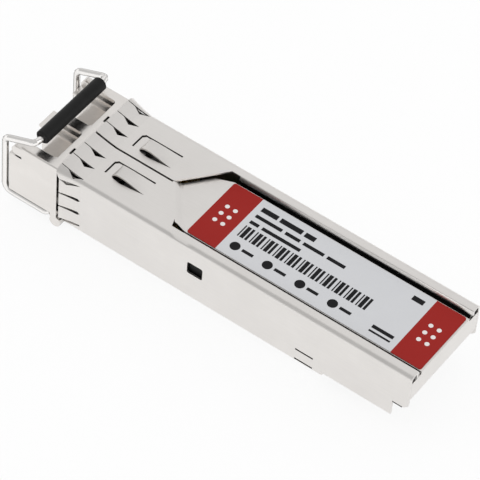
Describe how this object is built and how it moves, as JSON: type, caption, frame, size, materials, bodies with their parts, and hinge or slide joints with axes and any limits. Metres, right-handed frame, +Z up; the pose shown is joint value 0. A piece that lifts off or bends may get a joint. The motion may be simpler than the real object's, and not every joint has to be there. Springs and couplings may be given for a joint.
{
  "type": "optical transceiver module",
  "caption": "Pluggable optical transceiver with a folded sheet-metal body, two fibre ports in a cast nose, sprung earthing fingers, a card edge and a wire bail that frees its latch.",
  "frame": {"origin": "middle of the length and width, on the plane of the stop lugs' lowest points", "axes": "+Y from the fibre ports to the card edge, +Z up towards the label, +X across"},
  "size_m": [0.0146, 0.056, 0.0124],
  "materials": {
    "cast_nose": "nickel-plated zinc die casting, fine satin",
    "stamped_sleeve": "bright rolled steel sheet, satin",
    "label_film": "pale film with a red field at each end and grey printed shapes",
    "bail_steel": "drawn stainless wire",
    "grip_sleeve": "matt black tube",
    "latch_steel": "pressed and deburred",
    "spring_steel": "rolled spring strip",
    "shield_steel": "plain strip",
    "cast_clamp": "zinc die casting",
    "receptacle_steel": "turned",
    "zirconia": "polished white ceramic",
    "can_plating": "gold-flashed can",
    "lead_plating": "gold-flashed leads",
    "board_laminate": "glass laminate with green solder mask",
    "contact_gold": "gold-plated pads",
    "chip_epoxy": "moulded epoxy",
    "gap_filler": "soft filled silicone",
    "capacitor_body": "fired ceramic chips",
    "resistor_body": "glazed ceramic chips",
    "bead_body": "ferrite chips"
  },
  "bodies": {
    "housing": {"nose_housing": "cast_nose", "shell": "stamped_sleeve", "label": "label_film", "latch_pin": "latch_steel", "latch_spring": "spring_steel", "shield_plate": "shield_steel", "optics_clamp": "cast_clamp", "transmitter_receptacle": "receptacle_steel", "receiver_receptacle": "receptacle_steel", "transmitter_fibre_stub": "zirconia", "receiver_fibre_stub": "zirconia", "transmitter_can": "can_plating", "receiver_can": "can_plating", "transmitter_leads": "lead_plating", "receiver_leads": "lead_plating", "circuit_board": "board_laminate", "edge_contacts_top": "contact_gold", "edge_contacts_bottom": "contact_gold", "driver_chip": "chip_epoxy", "amplifier_chip": "chip_epoxy", "controller_chip": "chip_epoxy", "thermal_pad": "gap_filler", "capacitors": "capacitor_body", "resistors": "resistor_body", "ferrite_beads": "bead_body"},
    "bail": {"bail_wire": "bail_steel", "bail_sleeve": "grip_sleeve"},
    "latch": {"latch_lever": "latch_steel"}
  },
  "joints": [
    {"name": "bail_swing", "type": "hinge", "parent": "housing", "child": "bail", "pos_m": [0, -0.02157, 0.0012], "axis": [1, 0, 0], "range_deg": [0, 90]},
    {"name": "latch_lift", "type": "hinge", "parent": "housing", "child": "latch", "pos_m": [0, -0.02116, 0.0018], "axis": [1, 0, 0], "range_deg": [0, 7], "deforming": ["latch_spring"]}
  ],
  "couplings": [
    {"joint": "latch_lift", "follows": "bail_swing", "ratio": 0.077778}
  ]
}
